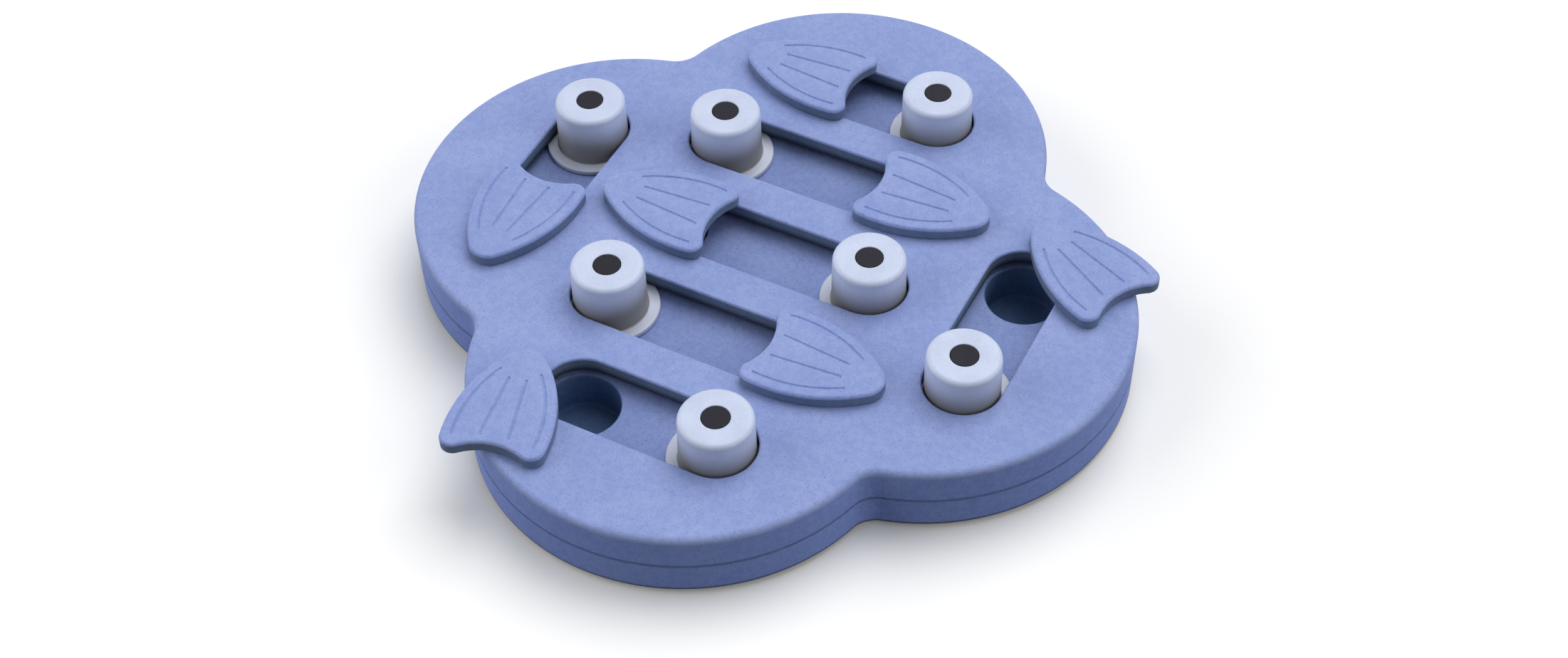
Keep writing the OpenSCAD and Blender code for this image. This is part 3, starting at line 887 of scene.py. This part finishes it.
class TREAT_OT_track_deck(Operator):
    """Deck under the slots, with a round treat well at both ends of every track"""

    bl_idname = "treat.track_deck"
    bl_label = "Track deck"

    def execute(self, context):
        board = context.scene.treat_board
        lip_round, bowl_round, guard = 0.5, 1.5, 0.1
        hole = BOSS_R + 0.3
        in_well = 1
        deck = Surface()
        outline = board_loop(DECK_INSET)
        deck.rings([outline] * 2, [DECK_LOW_Z, DECK_TOP_Z])
        above, below = [], []
        lip = [(WELL_R + i, DECK_TOP_Z - lip_round + z) for i, z in quarter_round(lip_round, 4)]
        bowl = [(WELL_R - i, CUP_FLOOR_Z + bowl_round - z) for i, z in quarter_round(bowl_round, 5)]
        inside = [(0.0, CUP_FLOOR_Z), (bowl[-1][0] - guard, CUP_FLOOR_Z), *bowl[::-1], *lip]
        outside = [(0.0, CUP_BASE_Z), (CUP_R, CUP_BASE_Z), (CUP_R, DECK_LOW_Z)]
        for well in WELLS:
            deck.revolve(well, inside, WELL_ROUND, inward=True, finish=in_well)
            deck.revolve(well, outside, WELL_ROUND)
            above.append(circle_loop(well, WELL_R + lip_round, WELL_ROUND))
            below.append(circle_loop(well, CUP_R, WELL_ROUND))
        for place in SCREWS:
            deck.revolve(place, [(hole, DECK_LOW_Z), (hole, DECK_TOP_Z)], inward=True)
            above.append(circle_loop(place, hole))
            below.append(circle_loop(place, hole))
        deck.flat(outline, above, DECK_TOP_Z)
        deck.flat(outline, below, DECK_LOW_Z, up=False)
        piece = deck.build("treat_deck")
        blues = (
            # Painted shade on the deck
            composite_material("deck shaded blue", shift=(0.1, 0.4, 0.3), tint=board.deck),
            # Painted shade inside the wells
            composite_material("well shaded blue", shift=(0.4, 0.1, 0.3), tint=board.well),
        )
        cups = [f"treat_cups_{k}" for k in range(1, len(TRACKS) + 1)]
        finish_piece(piece, "board", "board", blues, "track_deck", *cups)
        return {"FINISHED"}


class TREAT_OT_knobs(Operator):
    """Sliding knobs: hollow round bodies on wide flanges, each with a dark plug in its top"""

    bl_idname = "treat.knobs"
    bl_label = "Knobs"

    def execute(self, context):
        knobs = context.scene.treat_knobs
        foot_r = in_mm(knobs.foot_radius)
        top_r = foot_r - in_mm(knobs.draft)
        crown = quarter_round(in_mm(knobs.crown), 9)
        flange_r = in_mm(knobs.flange_radius)
        flange_top = FLANGE_Z + 2.4
        crown_z = KNOB_TOP_Z - crown[-1, 1]
        edge, fillet, lip, guard = 0.5, 0.5, 0.35, 0.1
        wall, roof_z, seat_z = 2.2, KNOB_TOP_Z - 3.0, KNOB_TOP_Z - 1.5
        seat_r, stem_r = 6.0, 4.0
        flange = [
            (foot_r - wall, FLANGE_Z), (flange_r - edge, FLANGE_Z), (flange_r, FLANGE_Z + edge),
            *[(flange_r - i, flange_top - edge + z) for i, z in quarter_round(edge, 4)],
            (foot_r + fillet, flange_top),
        ]
        body = [
            *[(foot_r + fillet - z, flange_top + i) for i, z in quarter_round(fillet, 4)],
            (foot_r, flange_top + fillet + guard),
            (top_r, crown_z - 2 * guard),
            *[(top_r - i, crown_z + z) for i, z in crown],
            (top_r - crown[-1, 0] - guard, KNOB_TOP_Z), (seat_r + lip, KNOB_TOP_Z),
            *[(seat_r + lip - z, KNOB_TOP_Z - i) for i, z in quarter_round(lip, 3)],
            (seat_r, seat_z), (stem_r, seat_z),
            (stem_r, roof_z), (top_r - wall, roof_z), (foot_r - wall, FLANGE_Z),
        ]
        # The plug lies in the seat, and its pin goes through the roof and ends in a bead
        plug_r, pin_r = seat_r - 0.05, stem_r - 0.05
        bead_r, bead_tip_r, plug_edge = stem_r + 0.7, stem_r - 0.8, 0.45
        bead_z, bead_low_z, bead_tip_z = roof_z - 0.1, roof_z - 0.6, roof_z - 1.6
        rim_z, dish_z = KNOB_TOP_Z - 0.1, KNOB_TOP_Z - 0.16
        plug = [
            (0.0, bead_tip_z), (bead_tip_r, bead_tip_z), (bead_r, bead_low_z), (bead_r, bead_z),
            (pin_r, bead_z), (pin_r, seat_z), (plug_r, seat_z), (plug_r, rim_z - plug_edge),
            *[(plug_r - i, rim_z - plug_edge + z) for i, z in quarter_round(plug_edge, 4)],
            (seat_r - 0.7, rim_z), (0.0, dish_z),
        ]
        shade = tuple(c * 0.8 for c in knobs.colour)
        on_flange = 1
        for k, track in enumerate(TRACKS, 1):
            shift = 0.1 * k
            knob = Surface()
            knob.revolve(track[0], flange, KNOB_ROUND, finish=on_flange)
            knob.revolve(track[0], body, KNOB_ROUND)
            greys = (
                speckle_material(f"knob grey {k}", knobs.colour, shade, shift=(shift, 0, 0)),
                speckle_material(
                    f"flange grey {k}", knobs.flange_colour, shade, shift=(0, 0, shift)
                ),
            )
            # Painted shade: the knob's side darkens from near its top down to the board's top
            paint_shade_low(greys[0], knobs.foot_shade_colour, TOP_Z - 1, KNOB_TOP_Z - 3)
            nodes = (f"slider_{k}", f"slider_flange_{k}")
            finish_piece(knob.build(f"knob_{k}"), f"slider_{k}", "knob", greys, *nodes)
            insert = Surface()
            insert.revolve(track[0], plug, WELL_ROUND)
            dark = speckle_material(
                f"plug dark {k}", knobs.plug_colour, PLUG_SPECK,
                bump=0.00003, specular=0.1, shift=(0, shift, 0),
            )
            plugged = insert.build(f"knob_plug_{k}")
            finish_piece(plugged, f"slider_{k}", "plug", (dark,), f"slider_plug_{k}")
        return {"FINISHED"}


class TREAT_OT_flippers(Operator):
    """Fish-tail flippers with rounded edges, four engraved lines and a pivot pin below the nose"""

    bl_idname = "treat.flippers"
    bl_label = "Flippers"

    def execute(self, context):
        shape = context.scene.treat_flippers
        top = FLIPPER_Z + in_mm(shape.thickness)
        upper = quarter_round(in_mm(shape.edge_round), 8)
        guard, bevel = 0.1, 0.6
        insets = [bevel, 0.0, 0.0, *upper[:, 0], upper[-1, 0] + guard]
        rise = top - upper[-1, 1] + upper[:, 1]
        heights = [FLIPPER_Z, FLIPPER_Z + bevel, rise[0] - guard, *rise, top]
        half = in_mm(shape.groove_width) / 2
        depth = in_mm(shape.groove_depth)
        across = half * np.array(GROOVE_ACROSS)
        levels = top - depth * np.array(GROOVE_DOWN)
        pin_low, pin_bevel, bore_top = PIVOT_BOSS_Z - 0.15, 0.3, 38.0
        thrust_r, thrust_z = 5.8, TOP_Z + 0.1
        pin = [
            (0.0, bore_top), (SCREW_BORE_R, bore_top), (SCREW_BORE_R, pin_low),
            (PIVOT_PIN_R - pin_bevel, pin_low), (PIVOT_PIN_R, pin_low + pin_bevel),
            (PIVOT_PIN_R, thrust_z), (thrust_r, thrust_z), (thrust_r, FLIPPER_Z),
        ]
        on_edge = 1
        for k, (track, place) in enumerate(zip(TRACKS, PIVOTS), 1):
            turn = track[2] + track[3]
            flipper = Surface()
            outline = [turned(flipper_loop(i), turn) + place for i in insets]
            flipper.rings(outline[:4], heights[:4], finish=on_edge)
            flipper.rings(outline[3:], heights[3:])
            holes = []
            for path in groove_paths():
                rows = [turned(offset_loop(path, a), turn) + place for a in across]
                flipper.rings(rows, levels)
                holes.append(rows[0])
            flipper.flat(outline[-1], holes, top)
            flipper.flat(outline[0], [circle_loop(place, thrust_r)], FLIPPER_Z, up=False)
            flipper.revolve(place, pin)
            shift = (0.07 * k, 0.13 * k, 0.0)
            blues = (
                composite_material(f"flipper blue {k}", shift),
                # Painted shade on the flipper's upright edge
                composite_material(f"flipper edge shaded blue {k}", shift, shape.edge_shade_tint),
            )
            tail = flipper.build(f"fish_tail_{k}", sharp=40.0)
            finish_piece(tail, f"flipper_{k}", "board", blues, f"flipper_{k}")
        return {"FINISHED"}


class TREAT_OT_hardware(Operator):
    """Rubber feet below the board, and the finish of the screws and washers"""

    bl_idname = "treat.hardware"
    bl_label = "Feet and fasteners"

    def execute(self, context):
        feet = Surface()
        edge, dimple_r, dimple_z = 0.8, 2.2, 0.5
        profile = [
            (0.0, dimple_z), (dimple_r, dimple_z), (dimple_r + 0.6, 0.0),
            *[(FOOT_R - edge + z, i) for i, z in quarter_round(edge, 4)],
            (FOOT_R, FOOT_TOP_Z), (0.0, FOOT_TOP_Z),
        ]
        for foot in FEET:
            feet.revolve(foot, profile, WELL_ROUND)
        rubber = speckle_material("foot rubber", RUBBER, RUBBER_SPECK, 0.00004, specular=0.3)
        finish_piece(feet.build("rubber_foot_set"), "board", "foot", (rubber,), "rubber_feet")
        steel = speckle_material("fastener steel", STEEL, STEEL_SPECK, bump=0.00001)
        steel.node_tree.nodes["Principled BSDF"].inputs["Metallic"].default_value = 1.0
        for name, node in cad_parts.items():
            if name == "shell_screws" or name.startswith("pivot_"):
                node.data.materials.clear()
                node.data.materials.append(steel)
        return {"FINISHED"}


# Each lamp's name, its setting and its share of it, its spread in degrees, and where it is
LAMPS = (
    ("key", "key", 1.0, 50, (0.05, 0.6, 1.0)),
    ("left fill", "fill", 1.2, 70, (-1.0, -0.4, 0.35)),
    ("right fill", "fill", 0.8, 70, (1.0, 0.15, 0.35)),
)

# The camera's place, the point it looks at and its roll, in metres and degrees
CAMERA_PLACE = (0.3222, -0.5916, 0.7386)
CAMERA_TARGET = (0.03443, -0.05147, 0.0513)
CAMERA_ROLL = -1.20
SENSOR_WIDTH = 36.0

WHITE = (1.0, 1.0, 1.0, 1.0)


class TREAT_OT_studio(Operator):
    """Pale floor, soft light from above and behind, and the camera"""

    bl_idname = "treat.studio"
    bl_label = "Studio"

    def execute(self, context):
        studio = context.scene.treat_studio
        scene = context.scene
        scene.view_settings.view_transform = "Standard"
        self.floor(studio)
        self.world(scene, studio)
        self.lamps(studio)
        self.camera(scene, studio)
        return {"FINISHED"}

    def floor(self, studio):
        """A level square below the feet. The camera and reflections see it white, with its
        shadows, while the light that it throws back on the board is that of a dark grey."""
        reach = 6.0
        mesh = bpy.data.meshes.new("floor")
        mesh.from_pydata(
            [(-reach, -reach, 0), (reach, -reach, 0), (reach, reach, 0), (-reach, reach, 0)],
            [], [(0, 1, 2, 3)],
        )
        floor = add_object("floor", mesh)
        material, tree, shader = new_material("floor white")
        shader.inputs["Roughness"].default_value = 0.9
        shader.inputs["Specular IOR Level"].default_value = 0.0
        shader.inputs["Emission Color"].default_value = WHITE
        seen = seen_rays(tree)
        shown = add_mix(tree, seen, [studio.floor_grey] * 3, [studio.floor_white] * 3)
        glow = add_math(tree, "MULTIPLY", seen, studio.floor_glow)
        tree.links.new(shown, shader.inputs["Base Color"])
        tree.links.new(glow, shader.inputs["Emission Strength"])
        mesh.materials.append(material)

    def world(self, scene, studio):
        """An even sky, which shows white to the camera and in reflections."""
        world = bpy.data.worlds.new("studio sky")
        world.use_nodes = True
        tree = world.node_tree
        sky = tree.nodes["Background"]
        sky.inputs["Color"].default_value = WHITE
        strength = tree.nodes.new("ShaderNodeMapRange")
        strength.inputs["To Min"].default_value = studio.sky
        strength.inputs["To Max"].default_value = 1.0
        tree.links.new(seen_rays(tree), strength.inputs["Value"])
        tree.links.new(strength.outputs["Result"], sky.inputs["Strength"])
        scene.world = world

    def lamps(self, studio):
        """A wide sun from above and behind, and a weaker one at each side."""
        for name, setting, share, spread, source in LAMPS:
            data = bpy.data.lights.new(name, "SUN")
            data.energy = getattr(studio, setting) * share
            data.angle = math.radians(spread)
            add_object(name, data).matrix_world = aim(Vector(source), Vector((0, 0, 0)))

    def camera(self, scene, studio):
        """The photograph's camera, from its place, the point it looks at and its roll."""
        data = bpy.data.cameras.new("camera")
        data.lens = studio.lens
        data.sensor_width = SENSOR_WIDTH
        data.sensor_fit = "HORIZONTAL"
        camera = add_object("camera", data)
        camera.matrix_world = aim(Vector(CAMERA_PLACE), Vector(CAMERA_TARGET), CAMERA_ROLL)
        scene.camera = camera


def seen_rays(tree):
    """1 for the rays that show the backdrop: from the camera, a reflection or through glass."""
    path = tree.nodes.new("ShaderNodeLightPath")
    mirrored = add_math(
        tree, "MAXIMUM", path.outputs["Is Glossy Ray"], path.outputs["Is Transmission Ray"]
    )
    return add_math(tree, "MAXIMUM", path.outputs["Is Camera Ray"], mirrored)


def aim(place, target, roll=0.0):
    """A matrix at a place that looks at a target along its -Z, its X level, then rolled."""
    back = (place - target).normalized()
    right = Vector((0, 0, 1)).cross(back).normalized()
    up = back.cross(right)
    c, s = math.cos(math.radians(roll)), math.sin(math.radians(roll))
    across, along = right * c + up * s, up * c - right * s
    rows = [(across[i], along[i], back[i], place[i]) for i in range(3)]
    return Matrix((*rows, (0, 0, 0, 1)))


# ---- Add-on ----


PIECE_OPERATORS = (
    TREAT_OT_upper_shell,
    TREAT_OT_lower_shell,
    TREAT_OT_track_deck,
    TREAT_OT_knobs,
    TREAT_OT_flippers,
    TREAT_OT_hardware,
    TREAT_OT_studio,
)


class TREAT_PT_sidebar(Panel):
    """Lists the pieces and their settings in the 3D view's sidebar"""

    bl_idname = "TREAT_PT_sidebar"
    bl_label = "Treat puzzle"
    bl_space_type = "VIEW_3D"
    bl_region_type = "UI"
    bl_category = "Treat puzzle"

    def draw(self, context):
        for operator in PIECE_OPERATORS:
            self.layout.operator(operator.bl_idname)
        for name, group in SETTINGS.items():
            box = self.layout.box()
            for label in group.__annotations__:
                box.prop(getattr(context.scene, name), label)


CLASSES = (*SETTINGS.values(), *PIECE_OPERATORS, TREAT_PT_sidebar)


def register():
    for cls in CLASSES:
        bpy.utils.register_class(cls)
    for name, group in SETTINGS.items():
        setattr(bpy.types.Scene, name, PointerProperty(type=group))


def unregister():
    for name in SETTINGS:
        delattr(bpy.types.Scene, name)
    for cls in reversed(CLASSES):
        bpy.utils.unregister_class(cls)


def main():
    register()
    for operator in PIECE_OPERATORS:
        group, action = operator.bl_idname.split(".")
        getattr(getattr(bpy.ops, group), action)()


if __name__ == "__main__":
    main()
